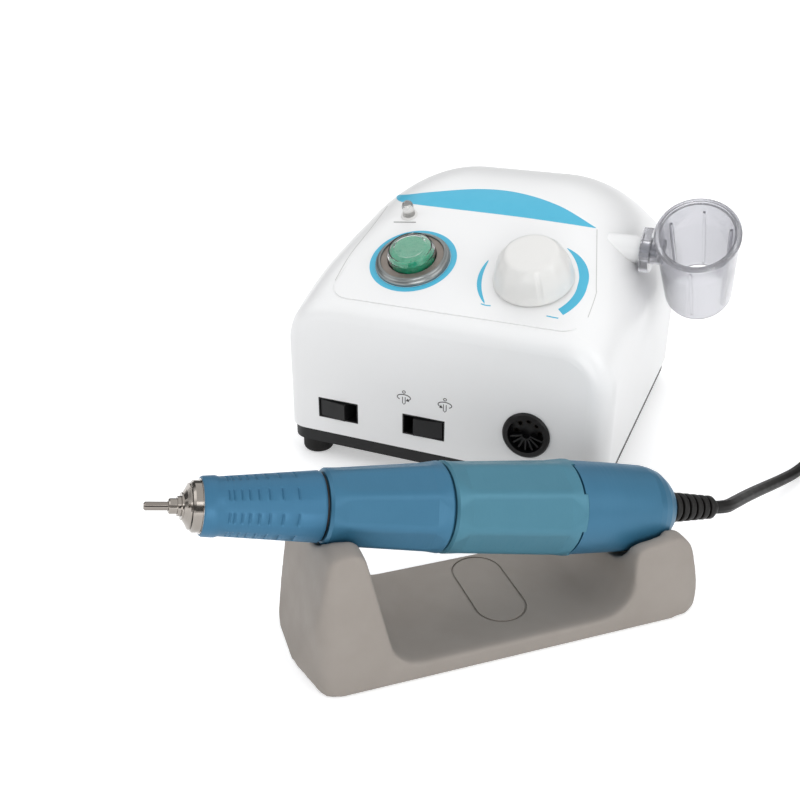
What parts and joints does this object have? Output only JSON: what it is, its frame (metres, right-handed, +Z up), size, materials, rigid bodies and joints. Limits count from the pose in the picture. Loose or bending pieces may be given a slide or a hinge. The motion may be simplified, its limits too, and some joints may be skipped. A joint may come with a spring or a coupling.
{
  "type": "dental micromotor",
  "caption": "Bench control unit with panel and tool cup, and its rotary handpiece on a loose cradle, joined by a plug-in cord.",
  "frame": {"origin": "centre of the control unit's footprint, in the plane that its rubber feet stand on", "axes": "+Z up out of that plane; +X to the user's right as they face the panel; +Y to the unit's back. The handpiece lies in front of the unit, where Y is negative."},
  "size_m": [0.2813, 0.2912, 0.1077],
  "materials": {
    "white_abs": "gloss white moulding",
    "black_rubber": "matt black rubber",
    "zinc_steel": "plain steel",
    "grey_metal": "satin ring",
    "black_plastic": "fine matt moulding",
    "green_plastic": "gloss green",
    "clear_plastic": "clear moulding",
    "brass_parts": "plain brass",
    "chrome_metal": "polished",
    "board_laminate": "green laminate",
    "core_steel": "laminated stack",
    "copper_winding": "enamelled copper",
    "blue_anodised": "satin anodised steel blue",
    "teal_anodised": "satin anodised teal",
    "magnet_ceramic": "dark ceramic",
    "carbon": "carbon",
    "grey_silicone": "warm grey, matt",
    "cord_jacket": "black jacket"
  },
  "bodies": {
    "button": {"power_button": "green_plastic", "button_cover": "clear_plastic"},
    "knob": {"speed_knob": "white_abs", "potentiometer_shaft": "brass_parts"},
    "hand_foot_switch": {"hand_foot_rocker": "black_plastic"},
    "direction_switch": {"direction_rocker": "black_plastic"},
    "cup": {"holder_cup": "clear_plastic"},
    "handpiece": {"nose_ring": "chrome_metal", "front_bearings": "zinc_steel", "barrel": "zinc_steel", "front_sleeve": "blue_anodised", "sleeve_seal": "black_rubber", "motor_housing": "teal_anodised", "magnets": "magnet_ceramic", "carbon_brushes": "carbon", "brush_holder": "black_plastic", "rear_bearing": "zinc_steel", "rear_cap": "blue_anodised", "strain_relief": "black_rubber"},
    "collar": {"twist_ring": "blue_anodised"},
    "chuck": {"spindle": "zinc_steel", "collet": "chrome_metal", "chuck_cone": "chrome_metal", "armature": "core_steel", "commutator": "copper_winding"},
    "tool": {"bur": "zinc_steel"},
    "unit": {"upper_casing": "white_abs", "base_tray": "black_plastic", "rubber_feet": "black_rubber", "base_screws": "zinc_steel", "power_bezel": "grey_metal", "power_switch_body": "black_plastic", "led_holder": "black_rubber", "status_led": "clear_plastic", "potentiometer": "zinc_steel", "potentiometer_nut": "zinc_steel", "switch_housings": "black_plastic", "rocker_pins": "zinc_steel", "socket_bezel": "black_plastic", "socket_insulator": "black_plastic", "socket_contacts": "brass_parts", "circuit_board": "board_laminate", "board_screws": "zinc_steel", "board_components": "black_plastic", "transformer_core": "core_steel", "transformer_winding": "copper_winding", "transformer_screws": "zinc_steel", "mains_inlet": "black_plastic", "inlet_pins": "brass_parts", "fuse_holder": "black_plastic", "fuse_cap": "black_plastic", "foot_jack": "zinc_steel", "holder_clip": "clear_plastic", "holder_pin": "zinc_steel", "cradle": "grey_silicone", "cord": "cord_jacket", "cord_coil": "cord_jacket", "plug_shell": "black_plastic", "plug_collar": "chrome_metal", "plug_pins": "brass_parts"}
  },
  "joints": [
    {"name": "power_press", "type": "slide", "parent": "unit", "child": "button", "axis": [0, 0.4423, -0.8969], "range_m": [0, 0.0025], "stiffness_N_per_m": 900, "springref_m": -0.0008},
    {"name": "speed_turn", "type": "hinge", "parent": "unit", "child": "knob", "pos_m": [0.0277, -0.04854, 0.08005], "axis": [0, -0.4423, 0.8969], "range_deg": [-150, 150]},
    {"name": "hand_foot_rock", "type": "hinge", "parent": "unit", "child": "hand_foot_switch", "pos_m": [-0.0415, -0.0635, 0.02415], "axis": [0, 0, 1], "range_deg": [0, 19]},
    {"name": "direction_rock", "type": "hinge", "parent": "unit", "child": "direction_switch", "pos_m": [-0.0049, -0.0635, 0.02415], "axis": [0, 0, -1], "range_deg": [0, 19]},
    {"name": "cup_tilt", "type": "hinge", "parent": "unit", "child": "cup", "pos_m": [0.081, -0.015, 0.086], "axis": [1, 0, 0], "range_deg": [-40, 45]},
    {"name": "handpiece_lift", "type": "slide", "parent": "unit", "child": "handpiece", "axis": [0, 0, 1], "range_m": [0, 0.06]},
    {"name": "collar_twist", "type": "hinge", "parent": "handpiece", "child": "collar", "pos_m": [0.02027, -0.16692, 0.04793], "axis": [0.7222, 0.6618, -0.2011], "range_deg": [0, 60]},
    {"name": "chuck_spin", "type": "hinge", "parent": "handpiece", "child": "chuck", "pos_m": [0.00871, -0.17751, 0.05115], "axis": [-0.7222, -0.6618, 0.2011], "continuous": true},
    {"name": "tool_pull", "type": "slide", "parent": "chuck", "child": "tool", "axis": [-0.7222, -0.6618, 0.2011], "range_m": [0, 0.04]}
  ]
}
